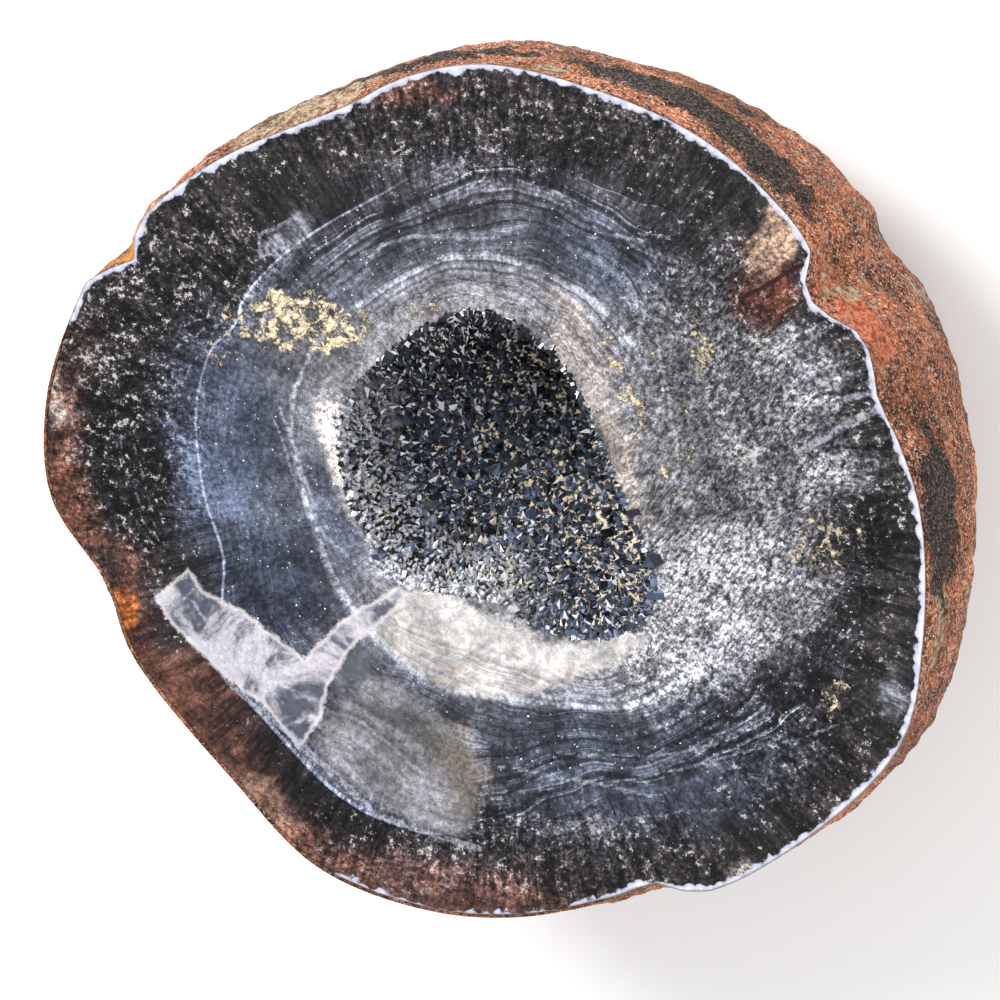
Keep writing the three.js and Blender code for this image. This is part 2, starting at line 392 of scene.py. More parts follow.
veins = [  # pale lines in the face: half width, then the places that they run through
    (0.6, [(50, 12), (43, 8), (40, 6)]), (0.4, [(36, -3), (35, 1), (34, 5)]),
    (0.3, [(-29, 29), (-29, 32), (-24, 34), (-22, 32), (-29, 29)]),
    (0.2, [(-32, 25), (-37, 17), (-41, 12)]), (0.3, [(-27, 10), (-24, 1), (-22, -6), (-14, -13)]),
    (0.2, [(-28, 9), (-25, 0), (-21, -10)]), (0.3, [(-15, 29), (-13, 31), (-9, 32), (2, 32)]),
    (0.2, [(10, 38), (15, 33), (21, 32)]), (0.3, [(18, 28), (22, 21), (24, 8)]),
    (0.2, [(-3, -39), (18, -36), (39, -30), (50, -26)]), (0.25, [(0, -35), (14, -37), (20, -38)]),
    (0.2, [(5, -33), (21, -33), (29, -31)]), (0.2, [(0, -41), (10, -42), (31, -39)]),
    (0.2, [(-49, 8), (-48, 3), (-45, -8)]), (0.2, [(-48, 8), (-46, 3), (-44, -8)]),
    (0.5, [(46, 13), (51, 14)]), (0.35, [(38, 19), (42, 15), (45, 14)]), (0.3, [(36, 18), (39, 12)]),
    (0.5, [(-42, -17), (-35, -26), (-26, -33), (-16, -42), (-3, -46)]),
    (0.2, [(-45, -14), (-40, -12), (-39, -13), (-42, -16), (-45, -14)]),
    (0.3, [(-40, -15), (-36, -21), (-28, -28)]), (0.25, [(-35, -18), (-28, -24), (-26, -27)]),
    (0.2, [(29, -8), (28, -7), (27, -8), (28, -9), (29, -8)]),
]
cracks = [(0.35, [(44, 31), (40, 29), (33, 25)])]
seamLoop = np.array([  # the broken seam of white quartz
    (-45, -15), (-40, -11), (-38, -14), (-33, -16), (-25, -22), (-20, -17), (-12, -12), (-11, -14),
    (-19, -21), (-22, -26), (-23, -30), (-26, -34), (-31, -28), (-36, -25), (-43, -18),
], float)
flintLoop = np.array([(-22, -27), (-20, -21), (-15, -20), (-16, -24)], float)
creamLoop = rounded([
    (-18, -18), (-12, -12), (-7, -12), (2, -16), (9, -19), (21, -16), (20, -20), (6, -26), (-2, -27),
    (-9, -25),
], 1)
weaveLoop = rounded([(-22, -27), (-15, -22), (-8, -27), (-1, -34), (-3, -46), (-12, -44), (-26, -34)], 1)


# The agate: the sawn face, the cavity's wall and the hidden body behind them.
agate = {
    "segments": 640,
    "rows": {"cavity": 40, "halo": 22, "bands": 38, "outer": 32, "side": 3, "under": 16},
    "heart": (2.7, 3.6, -9),  # rays to the cavity's wall start here, with the height measured from the face
    "ragged": 0.5,  # how far the cavity's edge wanders
    "jagged": 0.5,  # and how far its small teeth stand out
    "behind": 2.2,  # the hidden body keeps this far inside the nodule's outside
    "grain": 0.09,  # height of the saw-torn relief
    "mapWidth": 124,  # of the face's own UV map
}
outsideHeart = np.array([0, 0, faceLevel - 7])  # rays from outside the nodule come in towards this place
wellOutside = 120


def raysAt(angles, pitch):
    return np.stack([np.cos(angles) * np.cos(pitch), np.sin(angles) * np.cos(pitch), np.sin(pitch)], 1)


def outsideGrid(rows, segments):  # row 0 is the face's edge and the last row is the bottom
    angles = anglesOf(200)
    rim = reachOf(rimLoop, angles)
    top = np.arctan2(faceLevel - outsideHeart[2], rim)
    grid = [np.stack([rim * np.cos(angles), rim * np.sin(angles), 0 * rim + faceLevel], 1)]
    for share in np.linspace(0, 1, 48)[1:]:
        ways = raysAt(angles, top * (1 - share) - share * math.pi / 2)
        grid.append(rayHits(stone, outsideHeart + ways * wellOutside, -ways))
    grid[-1][:] = grid[-1].mean(0)
    fine = resampled(np.array(grid), rows, segments)
    angles = anglesOf(segments)
    rim = reachOf(rimLoop, angles)
    fine[0] = np.stack([rim * np.cos(angles), rim * np.sin(angles), 0 * rim + faceLevel], 1)
    fine[-1] = fine[-1].mean(0)
    fine[:, :, 2] = np.clip(fine[:, :, 2], 0, faceLevel)
    reach = np.hypot(fine[:, :, 0], fine[:, :, 1])
    bulge = np.maximum(reach - rim, 0) * (1 - rind["bulge"])
    fine[:, :, :2] *= ((reach - bulge) / np.maximum(reach, 0.01))[:, :, None]
    return fine


def cavityGrid(rows, segments):  # row 0 is the floor and the last row is the mouth
    heart = np.array(agate["heart"]) + (0, 0, faceLevel)
    angles = anglesOf(160)
    reach = reachOf(mouthLoop, angles)
    lip = np.stack([reach * np.cos(angles), reach * np.sin(angles), 0 * reach + faceLevel], 1)
    toLip = lip - heart
    around = np.arctan2(toLip[:, 1], toLip[:, 0])
    top = np.arctan2(toLip[:, 2], np.hypot(toLip[:, 0], toLip[:, 1]))
    grid = []
    for share in np.linspace(0, 1, 30)[:-1]:
        ways = raysAt(around, -math.pi / 2 + (top + math.pi / 2) * share)
        grid.append(rayHits(stone, np.repeat(heart[None], len(angles), 0), ways))
    grid[0][:] = grid[0].mean(0)
    fine = resampled(np.array(grid + [lip]), rows, segments)
    fine[0] = fine[0].mean(0)
    return fine


def pathDepth(paths, places):  # how far inside the nearest painted line each place lies
    depth = np.full(len(places), -3.0)
    for half, corners in paths:
        corners = np.array(corners, float)
        for a, d in zip(corners[:-1], np.diff(corners, axis=0)):
            along = np.clip(((places - a) @ d) / (d @ d), 0, 1)
            depth = np.maximum(depth, half - np.hypot(*(places - a - along[:, None] * d).T))
    return depth


def makeAgate():
    plan = agate["rows"]
    piece, row, segment = ballOf("banded_agate", agate["segments"], sum(plan.values()))
    angles = anglesOf(agate["segments"])
    compass = np.stack([np.cos(angles), np.sin(angles), 0 * angles], 1)
    mouth = reachOf(mouthLoop, angles) + clouds(compass * 20, 1.6, 3, 4.0) * agate["ragged"]
    mouth += clouds(compass * 20, 0.5, 2, 9.0) * agate["jagged"]
    loops = [mouth, reachOf(haloLoop, angles), reachOf(bandLoop, angles), reachOf(rimLoop, angles)]
    loops[1] = np.maximum(loops[1], loops[0] + 1.2)
    wall = cavityGrid(plan["cavity"] + 1, agate["segments"])
    grid = list(wall[:-1])
    ring = [i / plan["cavity"] - 1 for i in range(plan["cavity"])]
    for zone, name in enumerate(("halo", "bands", "outer")):
        for i in range(plan[name]):
            reach = loops[zone] + (loops[zone + 1] - loops[zone]) * i / plan[name]
            grid.append(compass * reach[:, None] + (0, 0, faceLevel))
            ring.append(zone + i / plan[name])
    rim = compass * loops[3][:, None]
    for i in range(plan["side"] + 1):  # tucks in under the rind's edge
        tuck = i / plan["side"]
        grid.append(rim * (1 - 0.03 * tuck) + (0, 0, faceLevel - 0.06 * (i > 0) - 1.5 * tuck ** 2))
        ring.append(3 + tuck)
    outside = outsideGrid(plan["under"] + 3, agate["segments"])[3:]
    for level in outside:
        inward = level - outsideHeart
        far = np.linalg.norm(inward, axis=1, keepdims=True)
        grid.append(outsideHeart + inward * (1 - agate["behind"] / far))
        ring.append(5)
    grid, ring = np.array(grid), np.array(ring)
    points, rings = grid[row, segment], ring[row]
    return piece, points, rings, angles[segment], loops[3][segment]


def reliefOf(points, rings, gaps, grit):  # how far the face is torn below the saw's plane
    onFace = (rings >= 0) & (rings <= 3)
    relief = np.zeros(len(points))
    spots = points[onFace]
    torn = clouds(spots, 3.2, 5, 2.0) * 0.6 + clouds(spots, 0.9, 3, 8.0) * 0.4
    relief[onFace] = torn * agate["grain"] * (0.35 + grit[onFace]) - agate["grain"]
    lowerLeft = smooth(-(points[:, 0] + points[:, 1]), 28, 46)
    relief -= 0.45 * smooth(rings, 1.985, 2.03) * lowerLeft * onFace
    relief -= 0.9 * (1 - smooth(gaps, 0, 2.2)) * lowerLeft * onFace * 0.6
    relief *= smooth(gaps, 0.0, 0.5) + lowerLeft * (1 - smooth(gaps, 0.0, 0.5))
    return relief


def paintAgate(piece, points, rings, angles, rims):
    places = points[:, :2]
    reach = np.hypot(places[:, 0], places[:, 1])
    gaps = rims - reach
    wander = np.stack([clouds(points, 5, 4, 1.0), clouds(points, 5, 4, 6.0)], 1) * 2.2
    stops = [(-1, tint(34, 38, 48)), (-0.1, tint(60, 64, 76)), (0, tint(118, 116, 120)),
             (0.7, tint(98, 98, 104)), (1.0, tint(100, 101, 111)), (1.08, tint(70, 73, 82)),
             (1.6, tint(60, 63, 72)), (1.97, tint(56, 58, 67)), (2.02, tint(33, 31, 34)),
             (3, tint(35, 32, 33))]
    at = [stop[0] for stop in stops]
    wash = np.stack([np.interp(rings, at, [stop[1][i] for stop in stops]) for i in range(3)], 1)
    soft = 1 - smooth(-places[:, 0], 6, 18) * (1 - smooth(places[:, 1], 26, 34))
    gradual = [(1.0, tint(100, 101, 111)), (1.08, tint(66, 68, 76)), (1.5, tint(50, 51, 57)),
               (1.8, tint(40, 39, 43)), (2.1, tint(32, 30, 33)), (3, tint(36, 33, 34))]
    at = [stop[0] for stop in gradual]
    softWash = np.stack([np.interp(rings, at, [stop[1][i] for stop in gradual]) for i in range(3)], 1)
    share = (soft * (rings > 1))[:, None]
    wash = wash * (1 - share) + softWash * share
    for x, y, wide, high, turn, name, amount in facePatches:
        share = patchShare(places + wander, x, y, wide * 1.25, high * 1.25, turn) * amount * (rings > -0.02)
        wash = wash * (1 - share[:, None]) + colours[name] * share[:, None]
    lowerLeft = smooth(np.cos(angles - math.radians(221)), 0.4, 0.75)
    brown = lowerLeft * (1 - smooth(gaps + wander[:, 0] * 1.2, 1.2, 7)) * (rings > 2)
    brown *= 0.2 + 0.6 * smooth(clouds(points, 3.5, 4, 12.0), -0.2, 0.2)
    wash = wash * (1 - brown[:, None]) + colours["sienna"] * brown[:, None]
    clay = np.zeros(len(points))
    for x, y, wide, high, turn, amount in clayPatches:
        share = patchShare(places + wander * 0.6, x, y, wide * 1.3, high * 1.3, turn)
        clay = np.maximum(clay, share * amount)
    grit = np.zeros(len(points))
    for x, y, wide, high, turn, amount in gritPatches:
        grit = np.maximum(grit, patchShare(places + wander, x, y, wide * 1.2, high * 1.2, turn) * amount)
    relief = reliefOf(points, rings, gaps, grit)
    placeVertices(piece, points + np.c_[0 * relief, 0 * relief, relief])
    writeColour(piece, "wash", wash)
    writeField(piece, "ring", rings)
    writeField(piece, "edgeGap", gaps)
    writeField(piece, "clay", clay)
    writeField(piece, "grit", grit)
    for name, loop in (("seam", seamLoop), ("flint", flintLoop), ("cream", creamLoop), ("weave", weaveLoop)):
        writeField(piece, name, np.clip(insideOf(loop, places), -4, 8))
    writeField(piece, "beige", patchShare(places + wander * 0.5, -4, -36, 4.5, 9, 10))
    writeField(piece, "vein", pathDepth(veins, places + wander * 0.12))
    writeField(piece, "crack", pathDepth(cracks, places + wander * 0.2))
    plain = smooth(places[:, 0] - (places[:, 1] - 15) * 0.3, 14, 24) * smooth(places[:, 1], -26, -16)
    writeField(piece, "plain", plain)
    top = smooth(places[:, 1] + places[:, 0] * 0.3, 12, 24)
    bottom = smooth(-places[:, 1], 14, 24)
    writeField(piece, "banding", 0.28 + 0.72 * np.maximum(top, bottom))
    calm = np.zeros(len(points))
    for x, y, wide, high, turn, amount in calmPatches:
        calm = np.maximum(calm, patchShare(places + wander * 0.4, x, y, wide, high, turn) * amount)
    calm = np.maximum(calm, brown)
    writeField(piece, "calm", calm)
    writeField(piece, "left", smooth(-places[:, 0], 6, 18))
    rimShare = smooth(np.cos(angles - math.radians(22)), -0.80, -0.72)
    frayed = clouds(np.stack([np.cos(angles) * 30, np.sin(angles) * 30, 0 * angles], 1), 4, 3, 2.0)
    rimShare = np.maximum(rimShare, smooth(frayed, -0.15, 0.25) * 0.75)
    writeField(piece, "rimShare", rimShare)
    # fine round the face and drawn out from its middle, for the fibres
    writeVector(piece, "flow", np.stack([45 * np.cos(angles), 45 * np.sin(angles), reach * 0.16], 1))
    hidden = rings > 3.05
    flat = 0.5 + places / agate["mapWidth"]
    corner = 0.04 + places / agate["mapWidth"] * 0.05
    layFlat(piece, np.where(hidden[:, None], corner, flat))


def finishAgate(piece):
    b = Bench("sawn_agate")
    ring, gap, grit, clay = (b.field(name) for name in ("ring", "edgeGap", "grit", "clay"))
    wash = b.field("wash", "Color")
    flow = b.field("flow", "Vector")
    mottle = b.noise(b.here, 0.2, 8, 0.62)
    fine = b.noise(b.here, 1.6, 5, 0.8)
    torn = b.noise(b.warped(b.here, 1.2, 0.8), 0.9, 6, 0.78)
    colour = b.brighten(wash, b.fade(mottle, 0.32, 0.68, (0.5, 1.5)))

    # fine bands that follow the cavity's outline
    outer = b.fade(ring, 1.96, 2.06)
    banded = b.times(b.fade(ring, 0.0, 0.15), b.less(1.0, outer))
    banded = b.times(banded, b.fade(b.field("plain"), 0.0, 1.0, (1.0, 0.12)))
    position = b.plus(ring, b.times(b.noise(b.here, 0.06, 2), 0.5))
    wide = b.lines(position, 7, 7, 0.75)
    banded = b.times(banded, b.field("banding"))
    colour = b.mix(banded, colour, b.brighten(colour, b.fade(wide, 0.34, 0.66, (0.4, 1.75))))
    thin = b.maths("ABSOLUTE", b.less(b.lines(position, 12, 3, 0.6), 0.5))
    thin = b.times(b.fade(thin, 0.0, 0.022, (1.0, 0.0)), b.fade(mottle, 0.42, 0.58))
    colour = b.mix(b.times(b.times(thin, banded), 0.4), colour, tint(156, 164, 182))

    # bright lines at the halo and at the limit of the bands
    haloGap = b.maths("ABSOLUTE", b.less(ring, 1.0))
    halo = b.times(b.fade(haloGap, 0.01, 0.06, (1.0, 0.0)), b.fade(mottle, 0.4, 0.58, (0.1, 0.8)))
    halo = b.times(halo, b.fade(b.field("plain"), 0.0, 0.6, (1.0, 0.1)))
    colour = b.mix(halo, colour, tint(170, 172, 184))
    limitGap = b.maths("ABSOLUTE", b.less(ring, 1.985))
    limit = b.times(b.fade(limitGap, 0.004, 0.022, (1.0, 0.0)), b.fade(mottle, 0.36, 0.55, (0.35, 0.9)))
    colour = b.mix(b.times(limit, b.field("left")), colour, tint(140, 150, 172))

    # fibres that run outwards and a saw-torn grain
    fibre = b.noise(b.warped(flow, 0.25, 2.4), 1.0, 6, 0.75)
    calm = b.field("calm")
    fibred = b.times(b.fade(ring, 1.5, 2.1, (0.3, 1.0)), b.fade(calm, 0.0, 1.0, (1.0, 0.25)))
    colour = b.mix(fibred, colour, b.brighten(colour, b.fade(fibre, 0.38, 0.66, (0.35, 2.2))))
    brushed = b.times(b.field("plain"), b.fade(ring, 1.75, 2.1, (1.0, 0.25)))
    coarse = b.times(b.fade(grit, 0.1, 1.0, (0.1, 1.0)), b.less(1.0, calm))
    coarse = b.times(coarse, b.fade(brushed, 0.0, 1.0, (1.0, 0.42)))
    colour = b.mix(coarse, colour, b.brighten(colour, b.fade(torn, 0.36, 0.66, (0.22, 2.7))))
    foil = b.noise(b.warped(b.stretched((0.5, 1.7, 1.0), 52), 0.15, 4.0), 1.7, 4, 0.7, 0.3)
    foiled = b.times(brushed, b.less(1.0, calm))
    colour = b.mix(foiled, colour, b.brighten(colour, b.fade(foil, 0.38, 0.62, (0.35, 1.7))))
    grained = b.brighten(colour, b.fade(fine, 0.38, 0.62, (0.2, 2.5)))
    colour = b.mix(b.fade(grit, 0.1, 0.9, (0.45, 1.0)), colour, grained)

    # white flecks, painted as glints of the rough broken stone, and dust
    flecks = b.sumOf(torn, b.times(grit, 0.07), b.sway(fine, 0.6), b.sway(mottle, 0.35))
    fleck = b.times(b.fade(flecks, 0.67, 0.71), b.less(1.0, calm))
    colour = b.mix(b.times(fleck, 0.85), colour, tint(205, 200, 198))
    dust = b.less(b.cells(b.here, 1.25), b.times(b.noise(b.here, 0.7, 2), 0.5))
    dust = b.times(b.fade(dust, -0.21, -0.15, (1.0, 0.0)), b.fade(ring, 1.9, 2.1, (0.9, 0.25)))
    colour = b.mix(dust, colour, tint(214, 216, 222))
    crackDepth = b.plus(b.field("crack"), b.sway(torn, 0.8))
    colour = b.mix(b.fade(crackDepth, 0.0, 0.15), colour, tint(44, 22, 14))

    # grey ground, dark flint patch, cream quartz and the white seam
    ravel = b.times(b.less(b.noise(b.here, 0.8, 6, 0.7), 0.5), 1.8)
    weave = b.fade(b.plus(b.field("weave"), b.times(ravel, 0.5)), -0.2, 2.2)
    soft = b.noise(b.here, 0.09, 3)
    weaveColour = b.mix(b.fade(soft, 0.38, 0.6), tint(86, 85, 87), tint(134, 132, 139))
    weaveColour = b.brighten(weaveColour, b.fade(b.lines(position, 5, 6, 0.7), 0.3, 0.7, (0.55, 1.5)))
    weaveColour = b.brighten(weaveColour, b.fade(torn, 0.34, 0.68, (0.6, 1.6)))
    weaveColour = b.brighten(weaveColour, b.fade(fine, 0.34, 0.66, (0.7, 1.35)))
    beige = b.brighten(tint(100, 94, 88), b.fade(fine, 0.36, 0.64, (0.6, 1.5)))
    weaveColour = b.mix(b.field("beige"), weaveColour, beige)
    colour = b.mix(b.times(weave, 0.9), colour, weaveColour)
    flint = b.fade(b.plus(b.field("flint"), b.times(ravel, 0.6)), -0.5, 0.9)
    flintColour = b.brighten(tint(100, 102, 110), b.fade(mottle, 0.36, 0.64, (0.7, 1.4)))
    colour = b.mix(b.times(flint, 0.75), colour, flintColour)
    creamDepth = b.sumOf(b.field("cream"), b.times(ravel, 1.3))
    cream = b.fade(creamDepth, -0.1, 1.3)
    cloudy = b.noise(b.here, 0.14, 5, 0.65, 0.8)
    creamColour = b.mix(b.fade(torn, 0.35, 0.65), tint(184, 182, 186), tint(236, 231, 226))
    creamColour = b.brighten(creamColour, b.fade(cloudy, 0.36, 0.6, (0.6, 1.12)))
    creamLines = b.fade(b.lines(position, 9, 5, 0.7), 0.3, 0.7, (0.55, 1.12))
    creamColour = b.mix(b.fade(ring, 0.35, 0.7), creamColour, b.brighten(creamColour, creamLines))
    creamColour = b.brighten(creamColour, b.fade(fine, 0.3, 0.7, (0.7, 1.12)))
    stain = b.times(b.fade(b.noise(b.here, 0.3, 4, 0.6, 0.6), 0.6, 0.7), 0.55)
    creamColour = b.mix(stain, creamColour, tint(206, 172, 130))
    colour = b.mix(cream, colour, creamColour)
    seamDepth = b.plus(b.field("seam"), b.times(ravel, 0.9))
    seam = b.fade(seamDepth, -0.2, 0.45)
    seamColour = b.mix(b.fade(cloudy, 0.42, 0.58), tint(78, 82, 96), tint(194, 190, 198))
    seamColour = b.brighten(seamColour, b.fade(fine, 0.34, 0.66, (0.75, 1.2)))
    seamColour = b.mix(b.fade(seamDepth, 0.15, 0.8, (0.8, 0.0)), seamColour, tint(224, 216, 216))
    colour = b.mix(b.times(seam, 0.94), colour, seamColour)
    veinDepth = b.plus(b.field("vein"), b.times(b.less(torn, 0.55), 0.9))
    vein = b.fade(veinDepth, -0.12, 0.18)
    colour = b.mix(b.times(vein, b.fade(fine, 0.38, 0.6, (0.05, 0.7))), colour, tint(172, 175, 188))

    # cream clay in the hollows
    crumbs = b.noise(b.warped(b.here, 0.7, 1.8), 0.5, 7, 0.78)
    clayed = b.fade(b.plus(clay, b.sway(crumbs, 3.4)), 0.93, 1.08)
    clayColour = b.mix(b.fade(fine, 0.38, 0.62), tint(150, 132, 104), tint(240, 226, 196))
    colour = b.mix(clayed, colour, clayColour)

    # the white rim under the rind
    knobs = b.cells(b.warped(b.here, 0.6, 1.2), 0.7)
    rimGap = b.sumOf(gap, b.times(knobs, 0.9), b.times(torn, 1.0),
                     b.times(b.less(b.noise(b.here, 0.3, 3), 0.5), 1.6))
    rimShare = b.field("rimShare")
    rimGap = b.plus(rimGap, b.fade(rimShare, 0.7, 1.0, (0.9, 0.0)))
    rim = b.times(b.fade(rimGap, 1.5, 1.75, (1.0, 0.0)), rimShare)
    rimColour = b.mix(b.fade(rimGap, 0.7, 1.6), tint(228, 222, 220), tint(176, 180, 202))
    colour = b.mix(rim, colour, rimColour)

    rough = b.fade(fine, 0.3, 0.7, (0.35, 0.6))
    rough = b.maths("ADD", rough, b.times(clayed, 0.35), clamp=True)
    height = b.sumOf(b.times(fine, 0.5), b.times(torn, coarse), b.times(foil, foiled),
                     b.times(fibre, fibred), b.times(clayed, 0.4))
    b.finish(piece, colour, rough, height, 0.3, Specular_IOR_Level=0.14)


# The rind: the weathered outside of the nodule, a bowl round the agate.
rind = {
    "segments": 640,
    "rows": {"inside": 14, "outside": 134},
    "thickness": 2,
    "bulge": 0.6,  # how much of the nodule's swell past the face's edge is kept
    "grain": 0.42,  # height of its lumps and pits
}
# Each: degrees round from +X, share of the way down, half width in degrees, half height, kind, strength.
rindPatches = [
    (117, 0.05, 13, 0.08, "chalk", 1.2), (119, 0.09, 8, 0.03, "skin", 0.8),
    (99, 0.09, 15, 0.05, "skin", 1.1), (82, 0.04, 9, 0.03, "chalk", 0.5),
    (62, 0.09, 24, 0.05, "skin", 1.15), (49, 0.05, 8, 0.035, "skin", 1.05),
    (29, 0.05, 2.2, 0.09, "chalk", 0.9), (25, 0.04, 7, 0.055, "salmon", 1.0),
    (-3, 0.06, 12, 0.06, "skin", 1.15), (-16, 0.05, 8, 0.03, "chalk", 0.7),
    (148, 0.02, 4, 0.04, "amber", 1.0),
]


def makeRind():
    plan = rind["rows"]
    piece, row, segment = ballOf("weathered_rind", rind["segments"], sum(plan.values()))
    outside = outsideGrid(plan["outside"] + 1, rind["segments"])
    inside = []
    for i in range(plan["inside"]):
        level = outside[round(plan["outside"] * (1 - i / plan["inside"]))]
        inward = level - outsideHeart
        far = np.linalg.norm(inward, axis=1, keepdims=True)
        inside.append(outsideHeart + inward * (1 - rind["thickness"] / far))
    inside = np.array(inside)
    inside[0] = inside[0].mean(0)
    outside[0][:, 2] -= 0.05
    grid = np.concatenate([inside, outside])
    share = np.concatenate([np.full(plan["inside"], -1), np.linspace(0, 1, plan["outside"] + 1)])
    points = grid[row, segment]
    placeVertices(piece, points)
    shares, angles = share[row], anglesOf(rind["segments"])[segment]
    normals = normalsOf(piece)
    shown = shares > 0
    spots = points[shown]
    lumps = clouds(spots, 2.6, 5, 3.0) * 0.8 + clouds(spots, 9, 3, 7.0) * 1.3
    pits = np.minimum(clouds(spots, 1.7, 3, 11.0) + 0.25, 0) * 1.2
    fadeIn = smooth(shares[shown], 0.0, 0.03) * smooth(points[shown][:, 2], 0.0, 2.0)
    lift = (lumps + pits) * rind["grain"] * fadeIn
    points[shown] += normals[shown] * lift[:, None]
    points[:, 2] = np.maximum(points[:, 2], 0)
    placeVertices(piece, points)
    paintRind(piece, points, shares, angles)
    return piece


def paintRind(piece, points, shares, angles):
    degrees = np.degrees(np.arctan2(np.sin(angles), np.cos(angles)))
    wander = clouds(points, 4, 4, 5.0)
    kinds = {"chalk": 0, "skin": 0, "salmon": 0, "amber": 0}
    for turn, down, wide, high, kind, amount in rindPatches:
        around = ((degrees - turn + 180) % 360 - 180 + wander * 5) / wide
        along = (shares - down + wander * 0.02) / high
        kinds[kind] = np.maximum(kinds[kind], (1 - smooth(np.hypot(around, along), 0.4, 1.2)) * amount)
    hidden = smooth(shares, 0.10, 0.25)
    broad = clouds(points, 16, 4, 9.0)
    kinds["chalk"] = np.maximum(kinds["chalk"], smooth(broad, 0.22, 0.5) * hidden * 0.8)
    kinds["skin"] = np.maximum(kinds["skin"], smooth(-broad, 0.18, 0.5) * hidden)
    for kind, share in kinds.items():
        writeField(piece, kind, share)
    reach = np.where(shares < 0, 0.02, 0.49 * (1 - np.maximum(shares, 0)))
    centre = np.where(shares[:, None] < 0, 0.04, 0.5)
    layFlat(piece, centre + np.stack([reach * np.cos(angles), reach * np.sin(angles)], 1))


def finishRind(piece):
    b = Bench("weathered_rind")
    mottle = b.noise(b.here, 0.3, 8, 0.65)
    fine = b.noise(b.here, 1.5, 6, 0.82)
    crumbs = b.noise(b.here, 2.6, 3, 0.8)
    colour = b.mix(b.fade(mottle, 0.36, 0.62), tint(112, 56, 34), tint(208, 116, 70))
    colour = b.mix(b.fade(fine, 0.49, 0.43), colour, tint(40, 22, 16))
    colour = b.mix(b.fade(fine, 0.55, 0.6), colour, tint(236, 172, 124))
    colour = b.mix(b.times(b.fade(crumbs, 0.56, 0.6), 0.9), colour, tint(246, 230, 214))
    colour = b.brighten(colour, b.fade(b.noise(b.here, 0.09, 4), 0.36, 0.62, (0.72, 1.25)))
    salmon = b.times(b.field("salmon"), b.fade(mottle, 0.3, 0.5))
    colour = b.mix(salmon, colour, b.mix(b.fade(fine, 0.42, 0.58), tint(176, 70, 44), tint(240, 158, 118)))
    amber = b.field("amber")
    colour = b.mix(amber, colour, b.mix(b.fade(fine, 0.4, 0.6), tint(206, 118, 36), tint(240, 178, 92)))
    ragged = b.times(b.less(b.noise(b.here, 0.25, 10, 0.84), 0.5), 4.4)
    streaks = b.noise(b.here, 0.9, 5, 0.8)
    chalk = b.fade(b.plus(b.field("chalk"), ragged), 0.45, 0.7)
    chalk = b.times(chalk, b.fade(fine, 0.4, 0.5, (0.35, 1.0)))
    colour = b.mix(chalk, colour, b.mix(b.fade(streaks, 0.42, 0.58), tint(140, 100, 70), tint(226, 204, 172)))
    skin = b.fade(b.plus(b.field("skin"), ragged), 0.45, 0.7)
    skin = b.times(skin, b.fade(streaks, 0.64, 0.56, (0.25, 1.0)))
    colour = b.mix(skin, colour, b.mix(b.fade(crumbs, 0.5, 0.62), tint(34, 29, 29), tint(142, 128, 118)))
    height = b.sumOf(fine, b.times(crumbs, 0.5), b.times(skin, 0.5))
    b.finish(piece, colour, 0.88, height, 0.6, Specular_IOR_Level=0.25)


# The druse: a crust on the cavity's wall and the crystal points that stand on it.
druse = {
    "segments": 240,
    "rows": 60,
    "wallRows": 91,  # rows that the cavity's wall is read in
    "crust": 1.3,  # thickness of the solid quartz under the points
    "lip": 0.25,  # the crust stops this far below the face
    "spacing": 0.6,
    "width": (0.34, 0.62),  # across half a crystal
    "bigWidth": 1.05,
    "bigShare": 0.06,
    "lean": 0.55,  # how unevenly the points stand
    "tries": 26000,  # places tried, most of them too close to a point that is there
    "seed": 5,
}


def makeCrust():
    rows = druse["rows"]
    half = rows // 2
    piece, row, segment = ballOf("drusy_crystals", druse["segments"], rows)
    wall = cavityGrid(druse["wallRows"], druse["segments"])
    heart = np.array(agate["heart"]) + (0, 0, faceLevel)
    low = wall[:, :, 2] < faceLevel - druse["lip"]
    below = (low * np.arange(len(wall))[:, None]).max(0)
    columns = np.arange(druse["segments"])
    rise = wall[below + 1, columns, 2] - wall[below, columns, 2]
    missing = faceLevel - druse["lip"] - wall[below, columns, 2]
    top = below + np.clip(missing / np.maximum(rise, 0.01), 0, 1)
    inside, outside = [], []
    for i in range(half + 1):
        place = np.minimum(top * i / half, len(wall) - 1.001)
        under = place.astype(int)
        over = (place - under)[:, None]
        level = wall[under, columns] * (1 - over) + wall[under + 1, columns] * over
        ways = heart - level
        ways /= np.linalg.norm(ways, axis=1, keepdims=True)
        inside.append(level + ways * druse["crust"] * (1 - 0.6 * smooth(np.array(i / half), 0.75, 1)))
        outside.append(level + ways * 0.05)
    grid = np.array(inside[:-1] + outside[::-1])
    points = grid[row, segment]
    onTop = row <= half + 1
    bumps = clouds(points, 2.2, 3, 2.0) * 0.35
    ways = heart - points
    points += ways / np.linalg.norm(ways, axis=1, keepdims=True) * (bumps * (row < half - 2))[:, None]
    placeVertices(piece, points)
    return piece, onTop


